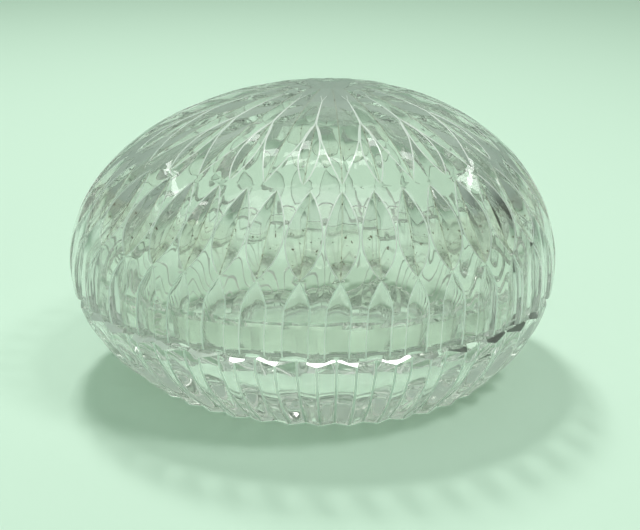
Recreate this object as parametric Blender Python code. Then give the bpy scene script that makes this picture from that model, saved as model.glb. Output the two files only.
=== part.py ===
"""Egg-shaped cut-glass trinket box: a base bowl with a locating lip, and a lift-off domed lid.

Metres, +Z up, +X along the length towards the blunt end of the egg. The origin is on the table,
halfway along the egg. Both pieces are lofts: rings of points on a level, each ring a scaled copy
of the egg outline moved inwards by the depth of the cuts at that level.
"""

import bisect
import math

import bmesh
import bpy

MM = 0.001

# Outline of the egg in plan: two half ellipses that meet at the widest cross-section.
NARROW_END = 63.2 * MM  # semi-length on the -X side
BLUNT_END = 54.8 * MM  # semi-length on the +X side
HALF_WIDTH = 46.4 * MM
WIDEST_X = (NARROW_END - BLUNT_END) / 2  # the widest cross-section and the apex are off centre

# Heights above the table.
SEAM_Z = 22.0 * MM  # flat rim of the base
WIDEST_Z = 26.9 * MM  # level of the largest outline
TOP_Z = 70.3 * MM  # apex of the lid

# Clearances between the two pieces.
SEAM_GAP = 0.3 * MM
LIP_GAP = 0.6 * MM

# Glass thickness.
LID_WALL = 5.0 * MM
LID_CROWN = 5.5 * MM
LIP_WALL = 2.6 * MM
FLOOR = 5.0 * MM

# The repeated cuts. Half widths of lid flutes and almonds are in pitches of FLUTES, and those of
# petals in pitches of a pair, one long petal and one short.
FLUTES = 40  # base flutes, lid flutes and almonds all share this count
PETAL_PAIRS = 16
PATTERN_TURN = 0.006  # how far the cuts are turned round from the -Y side, in turns
FLUTE_HALF = 0.30
FLUTE_DEPTH = 1.0 * MM
ARCH_Z = 33.0 * MM  # where the sides of a lid flute start to close into an arch
ALMOND_Z = (39.2 * MM, 55.4 * MM)
ALMOND_HALF = 0.47
ALMOND_DEPTH = 1.45 * MM
STAR_OUTER = 0.735  # outline scale at the outer tips of the petals
SHORT_INNER = 0.45  # outline scale at the inner tips of the short petals
LONG_INNER = 0.12  # outline scale at the inner tips of the long petals
LONG_FULL = 0.26  # outline scale from which neighbouring long petals touch
SHORT_HALF = 0.15
PETAL_SLOPE = 0.25  # depth of a petal's middle line over its half width
RIDGE_DEPTH = 1.6 * MM  # depth of the V flutes of the base at its shoulder

# The base.
SHOULDER_SCALE = 0.985  # outline scale of the ridges under the rim
RIM_SCALE = 0.955  # outline scale of the edge of the flat rim
BOWL_REACH = 37.2 * MM  # drop at which the outer curve of the base would close
BOWL_POWERS = (1.77, 1.845)
LIP_HEIGHT = 5.8 * MM
LIP_CHAMFER = 0.6 * MM
WELL_POWER = 2.4  # squareness of the inside of the bowl
FOOT_STEP = 1.0 * MM  # bevel round the foot

# Cells of the loft across half a flute or almond (cut, uncut) and half a petal pair (long petal,
# uncut, short petal). Both add up to the same count round the egg.
FLUTE_CELLS = (1, 1)
PAIR_CELLS = (2, 1, 2)
AROUND = 2 * FLUTES * sum(FLUTE_CELLS)
LID_LIFT = 60.0 * MM


def clear_scene():
    for obj in list(bpy.data.objects):
        bpy.data.objects.remove(obj, do_unlink=True)


def half_length(cosine, narrow, blunt):
    return blunt if cosine > 0 else narrow


def outline_point(angle, inset=0.0):
    """The egg outline at an angle parameter, with all its semi-axes made shorter by an inset."""
    length = half_length(math.cos(angle), NARROW_END, BLUNT_END) - inset
    return length * math.cos(angle), (HALF_WIDTH - inset) * math.sin(angle)


def arc_table(fine=7200):
    """Angle parameters from the -Y side round, and how far along the outline each one is, 0 to 1."""
    angles = [-math.pi / 2 + 2 * math.pi * i / fine for i in range(fine + 1)]
    points = [outline_point(a) for a in angles]
    lengths = [0.0]
    for before, after in zip(points, points[1:]):
        lengths.append(lengths[-1] + math.dist(before, after))
    return angles, [length / lengths[-1] for length in lengths]


ANGLES, ARCS = arc_table()


def angle_at(turn):
    """The angle parameter of a point that is a part of the outline's length from the first cut."""
    turn = (turn + PATTERN_TURN) % 1.0
    after = min(bisect.bisect_right(ARCS, turn), len(ARCS) - 1)
    part = (turn - ARCS[after - 1]) / (ARCS[after] - ARCS[after - 1])
    return ANGLES[after - 1] + part * (ANGLES[after] - ANGLES[after - 1])


def inward(angle):
    """Unit vector in plan, square to the outline and pointing to the middle."""
    x, y = outline_point(angle)
    length = half_length(math.cos(angle), NARROW_END, BLUNT_END)
    nx, ny = x / length**2, y / HALF_WIDTH**2
    size = math.hypot(nx, ny)
    return -nx / size, -ny / size


def stations(edges, cells):
    """Places from 0 to 0.5 with the given inner edges, each gap split into its number of cells."""
    places = [0.0]
    for low, high, count in zip((0.0, *edges), (*edges, 0.5), cells):
        places += [low + (high - low) * i / count for i in range(1, count + 1)]
    return places


def all_round(places, cuts, repeats):
    """(turn, depth) round the egg for a half repeat that is mirrored and repeated."""
    half = list(zip(places, cuts))
    whole = half[:-1] + [(1.0 - place, cut) for place, cut in reversed(half[1:])]
    return [((k + place) / repeats, cut) for k in range(repeats) for place, cut in whole]


def leaf(part):
    """Half-width of a leaf shape along its length, 0 at both tips and 1 in the middle."""
    return math.sin(math.pi * min(max(part, 0.0), 1.0)) ** 0.8


def flute_columns(z):
    """Flutes of the lid rim, each one closing into a pointed arch."""
    closing = min(max((z - ARCH_Z) / (ALMOND_Z[0] - ARCH_Z), 0.0), 1.0)
    open_part = 1.0 - closing**1.5
    places = stations((FLUTE_HALF * open_part,), FLUTE_CELLS)
    cuts = [FLUTE_DEPTH * open_part if place == 0.0 else 0.0 for place in places]
    return all_round(places, cuts, FLUTES)


def almond_columns(z):
    """A row of almond-shaped V cuts."""
    size = leaf((z - ALMOND_Z[0]) / (ALMOND_Z[1] - ALMOND_Z[0]))
    places = stations((ALMOND_HALF * size,), FLUTE_CELLS)
    cuts = [ALMOND_DEPTH * size if place == 0.0 else 0.0 for place in places]
    return all_round(places, cuts, FLUTES)


def plain_columns():
    return [(i / AROUND, 0.0) for i in range(AROUND)]


def long_half(scale):
    """Half-width of a long petal: pointed at both ends, and touching its neighbours between."""
    if scale < LONG_FULL:
        return 0.5 * max(0.0, (scale - LONG_INNER) / (LONG_FULL - LONG_INNER)) ** 0.7
    taper = max(0.0, (scale - SHORT_INNER + 0.02) / (STAR_OUTER - SHORT_INNER + 0.02))
    return 0.5 * max(0.0, 1.0 - taper**1.15)


def petal_columns(scale):
    """The star: long petals, with short petals in the gaps between their outer ends."""
    long_part = long_half(scale)
    short_part = SHORT_HALF * leaf((scale - SHORT_INNER) / (STAR_OUTER - SHORT_INNER))
    short_part = min(short_part, 0.5 - long_part)
    places = stations((long_part, 0.5 - short_part), PAIR_CELLS)
    pitch = 2.0 * math.pi * HALF_WIDTH * 1.14 * scale / PETAL_PAIRS
    cuts = []
    for place in places:
        in_long = max(0.0, long_part - place)
        in_short = max(0.0, short_part - (0.5 - place))
        cuts.append(PETAL_SLOPE * pitch * max(in_long, in_short))
    return all_round(places, cuts, PETAL_PAIRS)


def dome_scale(z):
    return math.sqrt(max(0.0, 1.0 - ((z - WIDEST_Z) / (TOP_Z - WIDEST_Z)) ** 2))


def dome_height(scale):
    return WIDEST_Z + (TOP_Z - WIDEST_Z) * math.sqrt(1.0 - scale**2)


def lid_ring(scale, z, columns):
    """One ring of the cut outside of the lid."""
    rise = max(0.0, (z - WIDEST_Z) / (TOP_Z - WIDEST_Z))
    ring = []
    for turn, depth in columns:
        angle = angle_at(turn)
        x, y = outline_point(angle)
        nx, ny = inward(angle)
        across = depth * math.sqrt(1.0 - rise**2)
        ring.append((x * scale + nx * across, y * scale + ny * across, z - depth * rise))
    return ring


def smooth_ring(inset, scale, z):
    points = [outline_point(angle_at(i / AROUND), inset) for i in range(AROUND)]
    return [(x * scale, y * scale, z) for x, y in points]


def lid_outside():
    """Rings from the rim up to the last one below the apex."""
    rings = []
    for z in (SEAM_Z + SEAM_GAP, 27.0 * MM, ARCH_Z, 35.5 * MM, 37.7 * MM):
        rings.append(lid_ring(dome_scale(z), z, flute_columns(z)))
    for part in (0.0, 0.1, 0.25, 0.42, 0.58, 0.75, 0.9, 1.0):
        z = ALMOND_Z[0] + part * (ALMOND_Z[1] - ALMOND_Z[0])
        rings.append(lid_ring(dome_scale(z), z, almond_columns(z)))
    middle = (STAR_OUTER + dome_scale(ALMOND_Z[1])) / 2
    rings.append(lid_ring(middle, dome_height(middle), plain_columns()))
    for scale in (STAR_OUTER, 0.70, 0.65, 0.59, 0.52, SHORT_INNER, 0.38, 0.31, 0.24, 0.18, LONG_INNER):
        rings.append(lid_ring(scale, dome_height(scale), petal_columns(scale)))
    return rings


def lid_inside():
    """Rings from the rim up to the last one below the inner apex."""
    top = TOP_Z - LID_CROWN
    rings = [smooth_ring(LID_WALL, 1.0, SEAM_Z + SEAM_GAP), smooth_ring(LID_WALL, 1.0, WIDEST_Z)]
    for step in (18, 34, 49, 62, 74, 84):
        angle = math.radians(step)
        z = WIDEST_Z + (top - WIDEST_Z) * math.sin(angle)
        rings.append(smooth_ring(LID_WALL, math.cos(angle), z))
    return rings


def bowl_scale(z):
    drop = (SEAM_Z - z) / BOWL_REACH
    return SHOULDER_SCALE * (1.0 - drop ** BOWL_POWERS[0]) ** (1.0 / BOWL_POWERS[1])


def base_ring(z):
    """One ring of the fluted outside of the base: ridges on the outline, valleys between them."""
    scale = bowl_scale(z)
    ring = []
    for index in range(AROUND):
        angle = angle_at(index / AROUND)
        x, y = outline_point(angle)
        nx, ny = inward(angle)
        phase = (index * FLUTES / AROUND) % 1.0
        depth = RIDGE_DEPTH * scale * (1.0 - 2.0 * min(phase, 1.0 - phase))
        ring.append((x * scale + nx * depth, y * scale + ny * depth, z))
    return ring


def shoulder_ring():
    """Where the flutes run out in the bevel under the rim: ridges end lower than valleys."""
    bevel = (SHOULDER_SCALE - RIM_SCALE) * HALF_WIDTH
    rim = smooth_ring(0.0, RIM_SCALE, SEAM_Z)
    ring = []
    for (x, y, _), (rim_x, rim_y, _) in zip(base_ring(SEAM_Z - bevel), rim):
        out = math.hypot(x, y) - math.hypot(rim_x, rim_y)
        drop = max(out, 0.25 * MM)
        grow = (math.hypot(rim_x, rim_y) + drop) / math.hypot(rim_x, rim_y)
        ring.append((rim_x * grow, rim_y * grow, SEAM_Z - drop))
    return ring


def base_outside():
    """Rings from the foot up to the flat rim."""
    foot = [(x * 0.985, y * 0.985, 0.0) for x, y, _ in base_ring(FOOT_STEP)]
    rings = [foot]
    for z in (FOOT_STEP, 3.5 * MM, 6.5 * MM, 10.0 * MM, 14.0 * MM, 17.6 * MM):
        rings.append(base_ring(z))
    rings.append(shoulder_ring())
    rings.append(smooth_ring(0.0, RIM_SCALE, SEAM_Z))
    return rings


def base_lip():
    """Rings over the rim and the locating lip, ending on the edge of the well."""
    outer = LID_WALL + LIP_GAP
    inner = outer + LIP_WALL
    top = SEAM_Z + LIP_HEIGHT
    return [
        smooth_ring(outer, 1.0, SEAM_Z),
        smooth_ring(outer, 1.0, top - LIP_CHAMFER),
        smooth_ring(outer + LIP_CHAMFER, 1.0, top),
        smooth_ring(inner - LIP_CHAMFER, 1.0, top),
        smooth_ring(inner, 1.0, top - LIP_CHAMFER),
    ]


def base_well():
    """Rings down the inside of the bowl to its floor."""
    inner = LID_WALL + LIP_GAP + LIP_WALL
    top = SEAM_Z + LIP_HEIGHT - LIP_CHAMFER
    rings = []
    for part in (0.35, 0.55, 0.72, 0.85, 0.94, 0.985):
        scale = (1.0 - part**WELL_POWER) ** (1.0 / WELL_POWER)
        rings.append(smooth_ring(inner, scale, top - (top - FLOOR) * part))
    return rings


def skin(name, rings, first_z, last_z):
    """A closed body through a run of rings, with a fan to a centre point at each end."""
    body = bmesh.new()
    loops = [[body.verts.new(point) for point in ring] for ring in rings]
    for below, above in zip(loops, loops[1:]):
        for i in range(len(below)):
            j = (i + 1) % len(below)
            body.faces.new((below[i], below[j], above[j], above[i]))
    start = body.verts.new((0.0, 0.0, first_z))
    end = body.verts.new((0.0, 0.0, last_z))
    for i in range(len(loops[0])):
        j = (i + 1) % len(loops[0])
        body.faces.new((loops[0][j], loops[0][i], start))
        body.faces.new((loops[-1][i], loops[-1][j], end))
    bmesh.ops.translate(body, verts=body.verts, vec=(WIDEST_X, 0.0, 0.0))
    bmesh.ops.remove_doubles(body, verts=body.verts, dist=0.002 * MM)
    bmesh.ops.recalc_face_normals(body, faces=body.faces)
    mesh = bpy.data.meshes.new(name)
    body.to_mesh(mesh)
    body.free()
    mesh.shade_smooth()
    mesh.set_sharp_from_angle(angle=math.radians(18))
    return mesh


def glass(name, tint):
    material = bpy.data.materials.new(name)
    material.use_nodes = True
    shader = material.node_tree.nodes["Principled BSDF"]
    shader.inputs["Base Color"].default_value = tint
    shader.inputs["Roughness"].default_value = 0.04
    shader.inputs["IOR"].default_value = 1.54
    shader.inputs["Transmission Weight"].default_value = 1.0
    return material


def add_piece(collection, name, mesh, tint, parent):
    piece = bpy.data.objects.new(name, mesh)
    piece.data.materials.append(glass(name + "_glass", tint))
    collection.objects.link(piece)
    piece.parent = parent
    return piece


def main():
    clear_scene()
    bpy.context.scene.unit_settings.scale_length = 1.0
    collection = bpy.data.collections.new("trinket_box")
    bpy.context.scene.collection.children.link(collection)

    # The lid rides on this empty, which lies on the line of the lift.
    lift = bpy.data.objects.new("lid_lift", None)
    lift.empty_display_size = LID_LIFT
    collection.objects.link(lift)

    base_rings = base_outside() + base_lip() + base_well()
    base = skin("base", base_rings, 0.0, FLOOR)
    lid_rings = list(reversed(lid_inside())) + lid_outside()
    lid = skin("lid", lid_rings, TOP_Z - LID_CROWN, TOP_Z)
    add_piece(collection, "base", base, (0.93, 0.97, 0.94, 1.0), None)
    add_piece(collection, "lid", lid, (0.94, 0.98, 0.95, 1.0), lift)


main()
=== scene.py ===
"""Looks of the egg-shaped cut-glass trinket box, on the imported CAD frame.

The two CAD solids are replaced by finely cut glass of the same size: lofts whose columns follow
the outlines of the cuts, so that every edge is crisp.
"""

import bisect
import math

import bmesh
import bpy
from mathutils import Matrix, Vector


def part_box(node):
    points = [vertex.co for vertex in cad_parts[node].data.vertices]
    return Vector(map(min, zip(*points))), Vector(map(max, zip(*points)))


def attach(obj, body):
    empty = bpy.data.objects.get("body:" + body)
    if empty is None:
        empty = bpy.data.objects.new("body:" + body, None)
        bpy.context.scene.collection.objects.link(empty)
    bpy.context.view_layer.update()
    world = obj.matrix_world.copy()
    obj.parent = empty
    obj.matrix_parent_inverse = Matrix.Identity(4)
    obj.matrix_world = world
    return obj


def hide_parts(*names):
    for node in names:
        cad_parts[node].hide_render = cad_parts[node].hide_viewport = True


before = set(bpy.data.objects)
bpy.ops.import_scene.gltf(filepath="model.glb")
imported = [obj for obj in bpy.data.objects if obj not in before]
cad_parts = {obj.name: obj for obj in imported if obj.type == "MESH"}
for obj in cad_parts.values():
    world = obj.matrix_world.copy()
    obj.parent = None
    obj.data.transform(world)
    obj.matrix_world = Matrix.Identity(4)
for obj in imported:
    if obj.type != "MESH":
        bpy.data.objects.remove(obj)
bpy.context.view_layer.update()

MM = 0.001

# ---------------------------------------------------------------- the egg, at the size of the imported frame
LID_LOW, LID_HIGH = (Vector(corner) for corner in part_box("lid"))
BASE_LOW, BASE_HIGH = (Vector(corner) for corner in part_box("base"))

NARROW_SHARE = 0.5356  # part of the length on the -X side of the widest cross-section
LENGTH = LID_HIGH.x - LID_LOW.x
NARROW_END = LENGTH * NARROW_SHARE
BLUNT_END = LENGTH - NARROW_END
WIDEST_X = LID_LOW.x + NARROW_END
HALF_WIDTH = (LID_HIGH.y - LID_LOW.y) / 2
TOP_Z = LID_HIGH.z
LID_RIM_Z = LID_LOW.z
SEAM_GAP = 0.3 * MM  # between the rims of the lid and the base
SEAM_Z = LID_RIM_Z - SEAM_GAP
LIP_TOP_Z = BASE_HIGH.z
WIDEST_Z = 26.9 * MM  # level of the widest outline, which is inside the lid

# ---------------------------------------------------------------- glass thickness and clearances
LIP_GAP = 0.6 * MM
LID_WALL = 5.0 * MM
LID_CROWN = 5.5 * MM
LID_EDGE = 0.3 * MM  # chamfer of the inner edge of the lid's rim
LIP_WALL = 2.6 * MM
LIP_CHAMFER = 0.6 * MM
FLOOR = 5.0 * MM
WELL_POWER = 2.4  # how square the well of the base is: 2 is an ellipse
PRESS_WAVE = 0.07 * MM  # waviness of the pressed inside surfaces
SLANTING_WAVES = ((23, 0.31, 0.0), (37, -0.23, 2.0))  # waves round, radians a mm up, start in radians
RISING_WAVE = (0.55, 2.0, 5)  # radians a mm up, its swing round the glass in radians, swings round

# ---------------------------------------------------------------- the cuts
FLUTES = 40
PATTERN_TURN = 0.0035  # how far the cuts are turned round from the -Y side, in turns
LEAN = 0.009  # further turn of the cuts from the widest level to the crown
# Uneven spacing of hand cutting: waves round the egg, size in turns and start in radians.
UNEVEN = ((1, 0.0065, 0.0), (7, 0.0011, 1.3), (17, 0.0004, 4.1))
PETAL_PAIRS = 16
LEAF_POWER = 0.8  # under 1 makes the almonds and short petals fuller

# Half-widths of the cuts are in pitches.
FLUTE_HALF = 0.30
FLUTE_DEPTH = 1.0 * MM
ARCH_Z = 33.0 * MM  # from here up the flutes close into arches
ARCH_POWER = 1.5
ALMOND_Z = (39.2 * MM, 55.4 * MM)
ALMOND_SOIL_Z = 48.5 * MM  # below this the almonds are a little soiled
ALMOND_HALF = 0.47
ALMOND_DEPTH = 1.45 * MM

# The star, in scales of the plan outline: 1 is the widest level and 0 the crown.
STAR_OUTER = 0.735
SHORT_INNER = 0.45
LONG_INNER = 0.12
LONG_FULL = 0.26  # between this scale and SHORT_INNER the long petals touch
LONG_OVERLAP = 0.02  # the long petals begin to narrow this far inside SHORT_INNER
LONG_POWERS = (0.7, 1.15)  # shape of a long petal's inner and outer end
SHORT_HALF = 0.15
PETAL_SLOPES = (0.10, 0.24)  # depth of a petal's middle line over its half-width, inner and outer
SLOPE_POWER = 1.5
CROWN_SCALES = (0.09, 0.06, 0.03)  # plain rings inside the star
WORN_HIGHLIGHT_SCALE = 0.22  # inside this scale the edges of the star are as polished as the rest, with none of the white worn lines that are mostly painted highlights

# Polished edges are rounded: half-width of the rounding of a cut's outline, of its valley, of the
# ridges and valleys of the base, and of the outer edge of the lid's rim.
EDGE_ROUND = 0.15 * MM
VALLEY_ROUND = 0.12 * MM
RIDGE_ROUND = 0.25 * MM
RIM_ROUND = 0.25 * MM
EDGE_ROOM = 0.95  # most of the uncut glass beside an outline that its rounding takes
FINE_SCALES = (0.20, 0.50)  # between these scales the rounding in the star grows to its full size
FINE_SHARE = 0.25  # its least share of that size

# The base outside: V flutes that follow a bowl from the foot up to a bevelled shoulder.
RIDGE_DEPTH = 1.6 * MM
FADE_Z = (13.0 * MM, 20.0 * MM)  # over these levels the flutes grow shallower
FADE_SHARE = 0.45  # by this share of their depth
RIDGE_TOP_Z = 18.0 * MM
SHOULDER_SCALE = 0.985
RIM_SCALE = 0.947
BEVEL_SLOPE = 1.15  # drop of the bevel over its width
LEAST_BEVEL = 0.2 * MM
BOWL_REACH = 37.2 * MM
BOWL_POWERS = (1.77, 1.845)
FOOT_STEP = 1.0 * MM
FOOT_SCALE = 0.985  # size of the bottom edge over the outline one step up
THICK_Z = 8.0 * MM  # below this the glass of the base is thick

# ---------------------------------------------------------------- the loft
# Kinds of surface, which are also the material slots: three on both pieces, and two more on each.
# The worn edges are white, nearly opaque lines along the rounded outlines: partly wear, mostly a painted
# highlight.
POLISHED, FACET, WORN_HIGHLIGHT = range(3)
SOILED, GRIME = 3, 4  # on the lid
BEVEL_HIGHLIGHT, FOOT = 3, 4  # on the base: mirror-bright patches on the bevel that are painted highlights, and the foot, where the glass is thick

# Cells of the loft across half a flute or almond: valley, facet, rounded outline, uncut glass.
FLUTE_CELLS = (2, 2, 4, 2)
FLUTE_KINDS = (FACET, FACET, WORN_HIGHLIGHT, POLISHED)
ALMOND_KINDS = (GRIME, FACET, WORN_HIGHLIGHT, POLISHED)
ALMOND_LOW_KINDS = (GRIME, SOILED, WORN_HIGHLIGHT, POLISHED)
# And across half a petal pair: the same for the long petal, then the short one back to front.
PAIR_CELLS = (2, 4, 4, 5, 4, 4, 2)
PETAL_KINDS = (GRIME, POLISHED, WORN_HIGHLIGHT, POLISHED, WORN_HIGHLIGHT, POLISHED, GRIME)
PETAL_ROOT_KINDS = (GRIME, *[POLISHED] * 6)
# And across half a flute of the base: rounded valley, facet, rounded ridge.
RIDGE_CELLS = (3, 4, 3)
# The base's rounded valleys and ridges get the white worn lines, mostly painted highlights.
RIDGE_KINDS = (WORN_HIGHLIGHT, FACET, WORN_HIGHLIGHT)
FOOT_KINDS = (WORN_HIGHLIGHT, FOOT, WORN_HIGHLIGHT)
# Mirror-bright patch on the bevel round each ridge, a painted highlight, in cells: its first start and end,
# how many later ones there are, and the stride that steps through them.
PATCH_START, PATCH_STARTS, START_STRIDE = 2, 5, 7
PATCH_END, PATCH_ENDS, END_STRIDE = 12, 7, 5
AROUND = 2 * FLUTES * sum(FLUTE_CELLS)

# Rings in each zone.
RIM_RINGS = 9
ARCH_RINGS = 14
ALMOND_RINGS = 25
OUTER_STAR_RINGS = 20
INNER_STAR_RINGS = 22
LID_INSIDE_RINGS = 26
RIDGE_RINGS = 26
WELL_RINGS = 18

ARC_STEPS = 14400  # lengths that the plan outline is measured in
TINY = 1e-6
MERGE = 0.002 * MM  # points nearer than this become one
SHARP_ANGLE = math.radians(30)  # sharper edges aren't shaded smooth


def outline_point(angle, inset=0.0):
    """A point of the egg's plan outline, about the middle of the widest cross-section."""
    length = (BLUNT_END if math.cos(angle) > 0 else NARROW_END) - inset
    return length * math.cos(angle), (HALF_WIDTH - inset) * math.sin(angle)


def part_way(value, low, high):
    """How far a value is from low to high, held between 0 and 1."""
    return min(max((value - low) / (high - low), 0.0), 1.0)


def arc_table():
    """Angle parameters from the -Y side round, the share of the outline up to each, and its length."""
    angles = [-math.pi / 2 + 2 * math.pi * i / ARC_STEPS for i in range(ARC_STEPS + 1)]
    points = [outline_point(a) for a in angles]
    lengths = [0.0]
    for before, after in zip(points, points[1:]):
        lengths.append(lengths[-1] + math.dist(before, after))
    return angles, [length / lengths[-1] for length in lengths], lengths[-1]


ANGLES, ARCS, PERIMETER = arc_table()


def angle_at(turn, rise=0.0):
    """The angle parameter at a place round the egg, with the slight unevenness of hand cutting."""
    uneven = sum(size * math.sin(2.0 * math.pi * waves * turn + start) for waves, size, start in UNEVEN)
    turn = (turn + PATTERN_TURN + LEAN * rise + uneven) % 1.0
    after = min(bisect.bisect_right(ARCS, turn), len(ARCS) - 1)
    part = (turn - ARCS[after - 1]) / (ARCS[after] - ARCS[after - 1])
    return ANGLES[after - 1] + part * (ANGLES[after] - ANGLES[after - 1])


def inward(angle):
    """Unit vector in plan, square to the outline and pointing to the middle."""
    x, y = outline_point(angle)
    length = BLUNT_END if math.cos(angle) > 0 else NARROW_END
    nx, ny = x / length**2, y / HALF_WIDTH**2
    size = math.hypot(nx, ny)
    return -nx / size, -ny / size


def stations(edges, cells):
    """Places from 0 to 0.5 with the given inner edges, each gap split into its number of cells."""
    places = [0.0]
    for low, high, count in zip((0.0, *edges), (*edges, 0.5), cells):
        places += [low + (high - low) * i / count for i in range(1, count + 1)]
    return places


def all_round(places, cuts, repeats):
    """(turn, depth) round the egg for a half repeat that is mirrored and repeated."""
    half = list(zip(places, cuts))
    whole = half[:-1] + [(1.0 - place, cut) for place, cut in reversed(half[1:])]
    return [((k + place) / repeats, cut) for k in range(repeats) for place, cut in whole]


def kinds_round(cells, kinds, repeats):
    """The kind of surface in each cell round the egg, for a mirrored and repeated half."""
    half = [kind for count, kind in zip(cells, kinds) for _ in range(count)]
    return (half + half[::-1]) * repeats


def leaf(value, low, high):
    """Width of a leaf that is pointed at low and at high and 1 wide half-way."""
    return math.sin(math.pi * part_way(value, low, high)) ** LEAF_POWER


def rounded_v(place, half, depth, valley, edge):
    """Depth of a V cut whose valley and outline are rounded, at a distance from its middle."""
    if half < TINY:
        return 0.0
    slope = depth / half
    if place <= valley:
        return depth - slope * (valley / 2 + place**2 / (2 * valley))
    if place >= half + edge:
        return 0.0
    if place > half - edge:
        return slope * (half + edge - place) ** 2 / (4 * edge)
    return slope * (half - place)


def rounded_arc(place, half, depth, edge):
    """Depth of a hollow flute whose outline is rounded, at a distance from its middle."""
    if half < TINY or place >= half + edge:
        return 0.0
    slope = 2.0 * depth / half
    if place > half - edge:
        return slope * (half + edge - place) ** 2 / (4.0 * edge)
    start = slope * edge
    return start + (depth - start) * (1.0 - (place / (half - edge)) ** 2)


def flute_profile(half, depth, pitch, concave=False):
    """Places and depths across half a flute or almond of a given half-width in pitches."""
    valley = min(VALLEY_ROUND / pitch, half / 3)
    edge = min(EDGE_ROUND / pitch, half / 3, (0.5 - half) * EDGE_ROOM)
    places = stations((valley, half - edge, half + edge), FLUTE_CELLS)
    if not concave:
        return places, [rounded_v(place, half, depth, valley, edge) for place in places]
    return places, [rounded_arc(place, half, depth, edge) for place in places]


def flute_columns(z):
    """Concave flutes of the lid rim, each one closing into a pointed arch."""
    closing = part_way(z, ARCH_Z, ALMOND_Z[0])
    half = FLUTE_HALF * (1.0 - closing**ARCH_POWER)
    pitch = PERIMETER * dome_scale(z) / FLUTES
    places, cuts = flute_profile(half, FLUTE_DEPTH * half / FLUTE_HALF, pitch, concave=True)
    return all_round(places, cuts, FLUTES)


def almond_columns(z):
    """A row of almond-shaped V cuts."""
    size = leaf(z, *ALMOND_Z)
    pitch = PERIMETER * dome_scale(z) / FLUTES
    places, cuts = flute_profile(ALMOND_HALF * size, ALMOND_DEPTH * size, pitch)
    return all_round(places, cuts, FLUTES)


def plain_columns():
    """Columns without cuts, as many as the flutes have."""
    return [(i / AROUND, 0.0) for i in range(AROUND)]


def long_half(scale):
    """Half-width of a long petal: pointed at both ends, and touching its neighbours between."""
    if scale < LONG_FULL:
        return 0.5 * part_way(scale, LONG_INNER, LONG_FULL) ** LONG_POWERS[0]
    taper = part_way(scale, SHORT_INNER - LONG_OVERLAP, STAR_OUTER)
    return 0.5 * (1.0 - taper ** LONG_POWERS[1])


def petal_columns(scale):
    """The star: long petals, with short petals in the gaps between their outer ends."""
    pitch = PERIMETER * scale / PETAL_PAIRS
    edge_round = EDGE_ROUND * max(FINE_SHARE, part_way(scale, *FINE_SCALES))
    short_part = SHORT_HALF * leaf(scale, SHORT_INNER, STAR_OUTER)
    short_edge = min(edge_round / pitch, short_part / 3)
    short_valley = min(VALLEY_ROUND / pitch, short_part / 3)
    room = 0.5 - short_part - short_edge
    long_edge = min(edge_round / pitch, long_half(scale) / 3, room / 3)
    long_part = min(long_half(scale), room - long_edge)
    long_valley = min(VALLEY_ROUND / pitch, long_part / 3)
    edges = (
        long_valley,
        long_part - long_edge,
        long_part + long_edge,
        0.5 - short_part - short_edge,
        0.5 - short_part + short_edge,
        0.5 - short_valley,
    )
    places = stations(edges, PAIR_CELLS)
    outward = min(1.0, scale / STAR_OUTER) ** SLOPE_POWER
    inner_slope, outer_slope = PETAL_SLOPES
    deep = pitch * (inner_slope + (outer_slope - inner_slope) * outward)
    cuts = []
    for place in places:
        long_cut = rounded_v(place, long_part, deep * long_part, long_valley, long_edge)
        short_cut = rounded_v(0.5 - place, short_part, deep * short_part, short_valley, short_edge)
        cuts.append(max(long_cut, short_cut))
    return all_round(places, cuts, PETAL_PAIRS)


def dome_scale(z):
    """Size of the lid's outline at a level, over its widest one."""
    return math.sqrt(max(0.0, 1.0 - ((z - WIDEST_Z) / (TOP_Z - WIDEST_Z)) ** 2))


def dome_height(scale):
    return WIDEST_Z + (TOP_Z - WIDEST_Z) * math.sqrt(1.0 - scale**2)


def lid_ring(scale, z, columns):
    """A ring on the dome, with each column sunk by its depth square to the dome."""
    rise = max(0.0, (z - WIDEST_Z) / (TOP_Z - WIDEST_Z))
    ring = []
    for turn, depth in columns:
        angle = angle_at(turn, rise)
        x, y = outline_point(angle)
        nx, ny = inward(angle)
        across = depth * math.sqrt(1.0 - rise**2)
        ring.append((x * scale + nx * across, y * scale + ny * across, z - depth * rise))
    return ring


def swell(turn, z):
    """The waviness that pressing leaves: two waves that slant round the glass and one that goes up it."""
    around = 2.0 * math.pi * turn
    height = z / MM
    slanting = sum(
        math.sin(waves * around + slant * height + start) for waves, slant, start in SLANTING_WAVES
    )
    rate, swing, swings = RISING_WAVE
    return slanting + math.sin(rate * height + swing * math.sin(swings * around))


def smooth_ring(inset, scale, z, wave=0.0):
    """A ring without cuts. wave is how far it swells in and out."""
    ring = []
    for i in range(AROUND):
        turn = i / AROUND
        x, y = outline_point(angle_at(turn), inset + wave * swell(turn, z))
        ring.append((x * scale, y * scale, z))
    return ring


def steps(low, high, count):
    """Both ends of a range and the places that split it evenly."""
    return [low + (high - low) * i / count for i in range(count + 1)]


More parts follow.
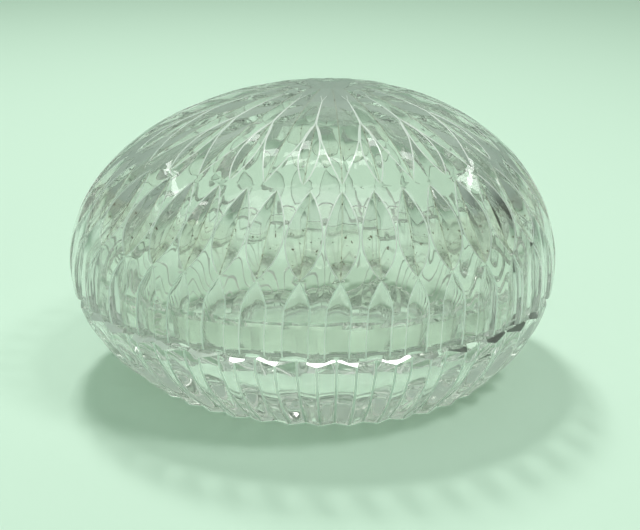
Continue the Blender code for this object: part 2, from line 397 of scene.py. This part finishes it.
def lid_outside():
    """Rings of the lid from rim to crown, each with the kinds of surface above it."""
    plain = [POLISHED] * AROUND
    fluted = kinds_round(FLUTE_CELLS, FLUTE_KINDS, FLUTES)
    almonds = kinds_round(FLUTE_CELLS, ALMOND_KINDS, FLUTES)
    almond_ends = kinds_round(FLUTE_CELLS, ALMOND_LOW_KINDS, FLUTES)
    petals = kinds_round(PAIR_CELLS, PETAL_KINDS, PETAL_PAIRS)
    petal_roots = kinds_round(PAIR_CELLS, PETAL_ROOT_KINDS, PETAL_PAIRS)
    rim = [(turn, depth + RIM_ROUND) for turn, depth in flute_columns(LID_RIM_Z)]
    rings = [(lid_ring(dome_scale(LID_RIM_Z), LID_RIM_Z, rim), fluted)]
    flute_levels = steps(LID_RIM_Z + RIM_ROUND, ARCH_Z, RIM_RINGS)[:-1]
    for z in flute_levels + steps(ARCH_Z, ALMOND_Z[0], ARCH_RINGS)[:-1]:
        rings.append((lid_ring(dome_scale(z), z, flute_columns(z)), fluted))
    for z in steps(*ALMOND_Z, ALMOND_RINGS)[:-1]:
        kinds = almond_ends if z < ALMOND_SOIL_Z else almonds
        rings.append((lid_ring(dome_scale(z), z, almond_columns(z)), kinds))
    rings.append((lid_ring(dome_scale(ALMOND_Z[1]), ALMOND_Z[1], almond_columns(ALMOND_Z[1])), plain))
    middle = (STAR_OUTER + dome_scale(ALMOND_Z[1])) / 2
    rings.append((lid_ring(middle, dome_height(middle), plain_columns()), plain))
    outer_scales = steps(STAR_OUTER, SHORT_INNER, OUTER_STAR_RINGS)
    for scale in outer_scales + steps(SHORT_INNER, LONG_INNER, INNER_STAR_RINGS)[1:-1]:
        kinds = petals if scale > WORN_HIGHLIGHT_SCALE else petal_roots
        rings.append((lid_ring(scale, dome_height(scale), petal_columns(scale)), kinds))
    for scale in (LONG_INNER, *CROWN_SCALES):
        rings.append((lid_ring(scale, dome_height(scale), plain_columns()), plain))
    return rings


def smooth(rings):
    """The rings, each with polished glass all round."""
    return [(ring, [POLISHED] * AROUND) for ring in rings]


def lid_inside():
    """Rings of the uncut inside of the lid, from the crown down to the rim."""
    top = TOP_Z - LID_CROWN
    rings = []
    for angle in steps(math.pi / 2, 0.0, LID_INSIDE_RINGS)[1:]:
        z = WIDEST_Z + (top - WIDEST_Z) * math.sin(angle)
        rings.append(smooth_ring(LID_WALL, math.cos(angle), z, wave=PRESS_WAVE * math.cos(angle)))
    rings.append(smooth_ring(LID_WALL, 1.0, LID_RIM_Z + LID_EDGE, wave=PRESS_WAVE))
    rim = smooth_ring(LID_WALL - LID_EDGE, 1.0, LID_RIM_Z)
    return smooth(rings) + [(rim, [FACET] * AROUND)]


def bowl_scale(z):
    """Size of the base's outline at a level, over the widest one."""
    drop = (SEAM_Z - z) / BOWL_REACH
    return SHOULDER_SCALE * (1.0 - drop ** BOWL_POWERS[0]) ** (1.0 / BOWL_POWERS[1])


def ridge_columns(scale, fade=1.0):
    """V flutes of the base: valleys under the almonds, ridges between them, both rounded."""
    rounding = RIDGE_ROUND / (PERIMETER * scale / FLUTES)
    places = stations((rounding, 0.5 - rounding), RIDGE_CELLS)
    depth = RIDGE_DEPTH * scale * fade
    cuts = [rounded_v(place, 0.5 - rounding, depth, rounding, rounding) for place in places]
    return all_round(places, cuts, FLUTES)


def base_ring(z):
    """A ring of the fluted base at a level."""
    scale = bowl_scale(z)
    fade = 1.0 - FADE_SHARE * part_way(z, *FADE_Z)
    ring = []
    for turn, depth in ridge_columns(scale, fade):
        angle = angle_at(turn)
        x, y = outline_point(angle)
        nx, ny = inward(angle)
        ring.append((x * scale + nx * depth, y * scale + ny * depth, z))
    return ring


def bevel_highlight_kinds():
    """Mirror-bright patches of uneven width on the bevel, one round each ridge: painted highlights that
    stand in for glints.
    """
    pitch = 2 * sum(RIDGE_CELLS)
    kinds = []
    for k in range(FLUTES):
        start = PATCH_START + START_STRIDE * k % PATCH_STARTS
        end = PATCH_END + END_STRIDE * k % PATCH_ENDS
        kinds += [FACET] * start + [BEVEL_HIGHLIGHT] * (end - start) + [FACET] * (pitch - end)
    return kinds


def shoulder_ring():
    """Where the flutes run out in the bevel under the rim: ridges end lower than valleys."""
    bevel = (SHOULDER_SCALE - RIM_SCALE) * HALF_WIDTH * BEVEL_SLOPE
    rim = [outline_point(angle_at(turn)) for turn, _ in ridge_columns(SHOULDER_SCALE)]
    ring = []
    for (x, y, _), (rim_x, rim_y) in zip(base_ring(SEAM_Z - bevel), rim):
        rim_reach = RIM_SCALE * math.hypot(rim_x, rim_y)
        out = max(math.hypot(x, y) - rim_reach, LEAST_BEVEL)
        scale = RIM_SCALE * (rim_reach + out) / rim_reach
        ring.append((rim_x * scale, rim_y * scale, SEAM_Z - out * BEVEL_SLOPE))
    return ring


def base_outside():
    """Rings of the fluted base from the foot to the rim that the lid stands on."""
    ridged = kinds_round(RIDGE_CELLS, RIDGE_KINDS, FLUTES)
    thick = kinds_round(RIDGE_CELLS, FOOT_KINDS, FLUTES)
    foot = [(x * FOOT_SCALE, y * FOOT_SCALE, 0.0) for x, y, _ in base_ring(FOOT_STEP)]
    rings = [(foot, thick)]
    for z in steps(FOOT_STEP, RIDGE_TOP_Z, RIDGE_RINGS):
        rings.append((base_ring(z), thick if z < THICK_Z else ridged))
    rings.append((shoulder_ring(), bevel_highlight_kinds()))
    rings.append((smooth_ring(0.0, RIM_SCALE, SEAM_Z), [FACET] * AROUND))
    return rings


def base_lip():
    """Rings over the raised lip that the lid fits round, from the seam up, over and down inside."""
    outer = LID_WALL + LIP_GAP
    inner = outer + LIP_WALL
    rings = [
        smooth_ring(outer, 1.0, SEAM_Z),
        smooth_ring(outer, 1.0, LIP_TOP_Z - LIP_CHAMFER, wave=PRESS_WAVE),
        smooth_ring(outer + LIP_CHAMFER, 1.0, LIP_TOP_Z),
        smooth_ring(inner - LIP_CHAMFER, 1.0, LIP_TOP_Z),
        smooth_ring(inner, 1.0, LIP_TOP_Z - LIP_CHAMFER, wave=PRESS_WAVE),
    ]
    return smooth(rings)


def base_well():
    """Rings of the smooth bowl inside the base, from the lip down to the floor."""
    inner = LID_WALL + LIP_GAP + LIP_WALL
    top = LIP_TOP_Z - LIP_CHAMFER
    rings = []
    for angle in steps(0.0, math.pi / 2, WELL_RINGS)[1:-1]:
        part = math.sin(angle)
        scale = (1.0 - part**WELL_POWER) ** (1.0 / WELL_POWER)
        rings.append(smooth_ring(inner, scale, top - (top - FLOOR) * part, wave=PRESS_WAVE * scale))
    return smooth(rings)


def skin(name, rings, first_z, last_z):
    """A closed body through a run of rings, with a fan to a centre point at each end."""
    body = bmesh.new()
    loops = [[body.verts.new(point) for point in ring] for ring, _ in rings]
    for below, above, (_, kinds) in zip(loops, loops[1:], rings):
        for i, kind in enumerate(kinds):
            j = (i + 1) % len(below)
            face = body.faces.new((below[i], below[j], above[j], above[i]))
            face.material_index = kind
    start = body.verts.new((0.0, 0.0, first_z))
    end = body.verts.new((0.0, 0.0, last_z))
    for i in range(len(loops[0])):
        j = (i + 1) % len(loops[0])
        body.faces.new((loops[0][j], loops[0][i], start))
        body.faces.new((loops[-1][i], loops[-1][j], end))
    bmesh.ops.translate(body, verts=body.verts, vec=(WIDEST_X, 0.0, 0.0))
    bmesh.ops.remove_doubles(body, verts=body.verts, dist=MERGE)
    bmesh.ops.recalc_face_normals(body, faces=body.faces)
    mesh = bpy.data.meshes.new(name)
    body.to_mesh(mesh)
    body.free()
    mesh.shade_smooth()
    mesh.set_sharp_from_angle(angle=SHARP_ANGLE)
    return mesh


# ---------------------------------------------------------------- materials
# Noise: cells a metre, detail, and the values that count as none and all.
POLISH_NOISE = (140.0, 4.0, 0.35, 0.70)
CLOUD_NOISE = (45.0, 3.0, 0.35, 0.65)
SPECK_DETAIL = 2.0
SPECK_EDGE = 0.04
GLASS_IOR = 1.52

# Colours: clear and cloudy glass before the tint, bright worn glass that is mostly a painted highlight, and
# dirt.
CLEAR = (0.998, 1.005, 0.982)
CLOUDY = (0.980, 0.990, 0.962)
WHITE = (1.0, 1.0, 0.98)
WORN_HIGHLIGHT_GREY = (0.78, 0.84, 0.79)
THICK_CLEAR = (0.95, 0.94, 0.91)
THICK_CLOUDY = (0.93, 0.92, 0.88)
BEIGE = (0.80, 0.77, 0.68)
DARK_BEIGE = (0.62, 0.58, 0.46)
BROWN = (0.10, 0.06, 0.04)


def noise(nodes, links, place, scale, detail, low, high):
    """A noise value stretched so that low and high become 0 and 1."""
    texture = nodes.new("ShaderNodeTexNoise")
    texture.inputs["Scale"].default_value = scale
    texture.inputs["Detail"].default_value = detail
    links.new(place.outputs["Object"], texture.inputs["Vector"])
    stretch = nodes.new("ShaderNodeMapRange")
    stretch.inputs["From Min"].default_value = low
    stretch.inputs["From Max"].default_value = high
    links.new(texture.outputs["Fac"], stretch.inputs["Value"])
    return stretch


def tinted(colour, tint):
    """A colour with each of its parts multiplied by the tint."""
    return tuple(tint * part for part in colour)


def blend_colour(nodes, links, factor, first, second):
    """A mix of two colours. Where the first one is a node's output, the caller links it to input A."""
    mix = nodes.new("ShaderNodeMix")
    mix.data_type = "RGBA"
    mix.inputs["A"].default_value = (*first, 1.0)
    mix.inputs["B"].default_value = (*second, 1.0)
    links.new(factor.outputs["Result"], mix.inputs["Factor"])
    return mix


def let_light_through(nodes, links, shader, share):
    """Lamps shine through the glass, dimmed at each face, so that it casts the pale shadow of glass."""
    path = nodes.new("ShaderNodeLightPath")
    clear = nodes.new("ShaderNodeBsdfTransparent")
    clear.inputs["Color"].default_value = (share, share, share, 1.0)
    mix = nodes.new("ShaderNodeMixShader")
    links.new(path.outputs["Is Shadow Ray"], mix.inputs["Fac"])
    links.new(shader.outputs["BSDF"], mix.inputs[1])
    links.new(clear.outputs["BSDF"], mix.inputs[2])
    links.new(mix.outputs["Shader"], nodes["Material Output"].inputs["Surface"])


def glass(name, colours, rough, through, transmission=1.0, metallic=0.0, spots=None):
    """Glass whose colour and polish vary a little.

    rough is the least and most roughness, through the share of lamp light that a face lets by, and
    spots the size (cells a metre), the noise value where they start and the colour of specks.
    """
    material = bpy.data.materials.new(name)
    material.use_nodes = True
    nodes, links = material.node_tree.nodes, material.node_tree.links
    shader = nodes["Principled BSDF"]
    shader.inputs["Transmission Weight"].default_value = transmission
    shader.inputs["Metallic"].default_value = metallic
    shader.inputs["IOR"].default_value = GLASS_IOR
    place = nodes.new("ShaderNodeTexCoord")
    polish = noise(nodes, links, place, *POLISH_NOISE)
    polish.inputs["To Min"].default_value = rough[0]
    polish.inputs["To Max"].default_value = rough[1]
    links.new(polish.outputs["Result"], shader.inputs["Roughness"])
    cloud = noise(nodes, links, place, *CLOUD_NOISE)
    colour = blend_colour(nodes, links, cloud, *colours)
    if spots:
        size, threshold, dark = spots
        speck = noise(nodes, links, place, size, SPECK_DETAIL, threshold, threshold + SPECK_EDGE)
        marked = blend_colour(nodes, links, speck, dark, dark)
        links.new(colour.outputs["Result"], marked.inputs["A"])
        colour = marked
    links.new(colour.outputs["Result"], shader.inputs["Base Color"])
    let_light_through(nodes, links, shader, through)
    return material


def common_glass(prefix, tint, cut_shade, wall_through):
    """The three kinds of surface that both pieces have, in the order of their numbers.

    cut_shade darkens the colour of the cuts as a painted shade, and wall_through is the share of lamp light
    that a facet lets by.
    """
    clear = tinted(CLEAR, tint)
    cloudy = tinted(CLOUDY, tint)
    # The cuts are given a darker colour than the uncut glass: a painted shade.
    cuts = (tinted(clear, cut_shade), tinted(cloudy, cut_shade))
    # The white and grey edges are partly wear and mostly painted highlights along the outlines.
    worn_highlight = (WHITE, WORN_HIGHLIGHT_GREY)
    worn_highlight_through = wall_through * 0.5
    return [
        glass(prefix + "_polished", (clear, cloudy), (0.0, 0.02), through=0.96),
        glass(prefix + "_facet_shaded", cuts, (0.0, 0.05), wall_through),
        glass(prefix + "_worn_highlight_edge", worn_highlight, (0.10, 0.22), worn_highlight_through, transmission=0.12, metallic=0.15),
    ]


def lid_glass():
    """The lid's kinds of surface: the common ones, then the soiled almonds and the grime in the valleys."""
    tint = 0.895
    through = 0.42
    soiled = (tinted(CLEAR, tint), BEIGE)
    soil = (1100.0, 0.66, BROWN)
    grimy = (BEIGE, DARK_BEIGE)
    grime = (900.0, 0.60, BROWN)
    return common_glass("lid", tint, cut_shade=0.86, wall_through=through) + [
        glass("lid_soiled", soiled, (0.05, 0.16), through, transmission=0.95, spots=soil),
        glass("lid_grime", grimy, (0.1, 0.3), 0.5, transmission=0.85, spots=grime),
    ]


def base_glass():
    """The base's kinds of surface: the common ones, then the bevel's painted highlights and the thick foot.
    """
    thick = (THICK_CLEAR, THICK_CLOUDY)
    return common_glass("base", tint=0.97, cut_shade=0.99, wall_through=0.08) + [
        # Mirror-like white patches on the bevel: painted highlights.
        glass("base_bevel_highlight", (WHITE, WHITE), (0.03, 0.15), through=0.4, metallic=0.85),
        glass("base_foot", thick, (0.0, 0.05), through=0.05),
    ]


def add_piece(name, mesh, body, node, materials):
    piece = bpy.data.objects.new(name, mesh)
    bpy.context.scene.collection.objects.link(piece)
    for material in materials:
        mesh.materials.append(material)
    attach(piece, body)
    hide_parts(node)


# ---------------------------------------------------------------- stage, light and camera
# Lamps that light the table: name, place, the point that it faces, width and power.
SOFT_LAMPS = (
    ("right_soft", (0.42, -0.10, 0.72), (-0.15, -0.60, 0.0), 0.14, 2.0),
    ("back_soft", (-0.14, 0.44, 0.76), (0.0, -0.60, 0.0), 0.12, 3.8),
)
# Lamps that glint in the glass: name, place, length and width, and power. All of them face BOX_MIDDLE.
GLINT_LAMPS = (
    ("front_card", (0.0, -0.42, 0.72), (1.00, 0.32), 1.5),
    ("top_tube", (0.0, 0.02, 0.75), (0.30, 0.05), 0.26),
    ("left_tube", (-0.50, 0.05, 0.50), (0.40, 0.03), 0.22),
    ("right_tube", (0.52, 0.10, 0.45), (0.40, 0.03), 0.22),
)
BOX_MIDDLE = (0.0, 0.0, 0.03)


def floor_material():
    material = bpy.data.materials.new("pale_floor")
    material.use_nodes = True
    shader = material.node_tree.nodes["Principled BSDF"]
    shader.inputs["Base Color"].default_value = (0.67, 0.845, 0.715, 1.0)
    shader.inputs["Roughness"].default_value = 0.6
    shader.inputs["Specular IOR Level"].default_value = 0.05
    return material


def add_floor():
    mesh = bpy.data.meshes.new("floor")
    reach = 4.0
    low = -0.1 * MM
    corners = [(-reach, -reach, low), (reach, -reach, low), (reach, reach, low), (-reach, reach, low)]
    mesh.from_pydata(corners, [], [(0, 1, 2, 3)])
    floor = bpy.data.objects.new("floor", mesh)
    mesh.materials.append(floor_material())
    bpy.context.scene.collection.objects.link(floor)


def add_area(name, location, target, size, power):
    light = bpy.data.lights.new(name, "AREA")
    light.shape = "RECTANGLE"
    light.size, light.size_y = size
    light.energy = power
    lamp = bpy.data.objects.new(name, light)
    lamp.location = location
    lamp.rotation_euler = (Vector(target) - Vector(location)).to_track_quat("-Z", "Y").to_euler()
    bpy.context.scene.collection.objects.link(lamp)
    return lamp


def add_soft(name, location, target, size, power):
    """A broad lamp that lights and shades the table but doesn't show as a white panel in the glass."""
    lamp = add_area(name, location, target, (size, size), power)
    lamp.visible_glossy = False
    lamp.visible_transmission = False


def add_glint(name, location, size, power):
    """A lamp that only glints along the polished edges: it neither lights nor shades the table."""
    lamp = add_area(name, location, BOX_MIDDLE, size, power)
    lamp.visible_diffuse = False


def add_world():
    """A pale room, brighter overhead, with a dark patch low on the right that the glass reflects."""
    world = bpy.data.worlds.new("studio")
    bpy.context.scene.world = world
    world.use_nodes = True
    nodes, links = world.node_tree.nodes, world.node_tree.links
    background = nodes["Background"]
    place = nodes.new("ShaderNodeTexCoord")
    split = nodes.new("ShaderNodeSeparateXYZ")
    links.new(place.outputs["Generated"], split.inputs["Vector"])
    height = nodes.new("ShaderNodeMapRange")
    height.inputs["From Min"].default_value = -0.2
    height.inputs["From Max"].default_value = 1.0
    links.new(split.outputs["Z"], height.inputs["Value"])
    ramp = nodes.new("ShaderNodeValToRGB")
    ramp.color_ramp.elements[0].color = (0.25, 0.34, 0.275, 1.0)
    ramp.color_ramp.elements[1].color = (0.52, 0.64, 0.54, 1.0)
    middle = ramp.color_ramp.elements.new(0.45)
    middle.color = (0.36, 0.465, 0.39, 1.0)
    links.new(height.outputs["Result"], ramp.inputs["Fac"])
    dark_side = Vector((0.93, -0.05, 0.32)).normalized()
    toward = nodes.new("ShaderNodeVectorMath")
    toward.operation = "DOT_PRODUCT"
    toward.inputs[1].default_value = dark_side
    links.new(place.outputs["Generated"], toward.inputs[0])
    near = nodes.new("ShaderNodeMapRange")
    near.inputs["From Min"].default_value = 0.70
    near.inputs["From Max"].default_value = 0.92
    links.new(toward.outputs["Value"], near.inputs["Value"])
    dark = (0.05, 0.06, 0.05)
    dim = blend_colour(nodes, links, near, dark, dark)
    links.new(ramp.outputs["Color"], dim.inputs["A"])
    links.new(dim.outputs["Result"], background.inputs["Color"])


def add_camera():
    """The camera looks down on the long side of the egg from the front."""
    elevation = math.radians(21.9)
    distance = 0.2568
    aim = Vector((WIDEST_X, 0.0, WIDEST_Z))
    eye = aim + distance * Vector((0.0, -math.cos(elevation), math.sin(elevation)))
    camera = bpy.data.cameras.new("camera")
    camera.sensor_fit = "HORIZONTAL"
    camera.sensor_width = 36.0
    camera.lens = 58.5
    camera.clip_start = 0.01
    camera.shift_x = -0.015625
    camera.shift_y = -0.01328125
    view = bpy.data.objects.new("camera", camera)
    view.location = eye
    view.rotation_euler = (aim - eye).to_track_quat("-Z", "Y").to_euler()
    bpy.context.scene.collection.objects.link(view)
    bpy.context.scene.camera = view


def render_settings():
    scene = bpy.context.scene
    scene.view_settings.view_transform = "Standard"
    scene.cycles.max_bounces = 32
    scene.cycles.transmission_bounces = 32
    scene.cycles.glossy_bounces = 16
    scene.cycles.diffuse_bounces = 4
    scene.cycles.blur_glossy = 0.3
    scene.cycles.sample_clamp_indirect = 4.0
    scene.cycles.use_denoising = True


def main():
    lid = skin("lid_glass", lid_inside() + lid_outside(), TOP_Z - LID_CROWN, TOP_Z)
    base = skin("base_glass", base_outside() + base_lip() + base_well(), 0.0, FLOOR)
    add_piece("lid_cut_glass", lid, "lid", "lid", lid_glass())
    add_piece("base_cut_glass", base, "base", "base", base_glass())
    add_floor()
    add_world()
    for lamp in SOFT_LAMPS:
        add_soft(*lamp)
    for lamp in GLINT_LAMPS:
        add_glint(*lamp)
    add_camera()
    render_settings()


main()
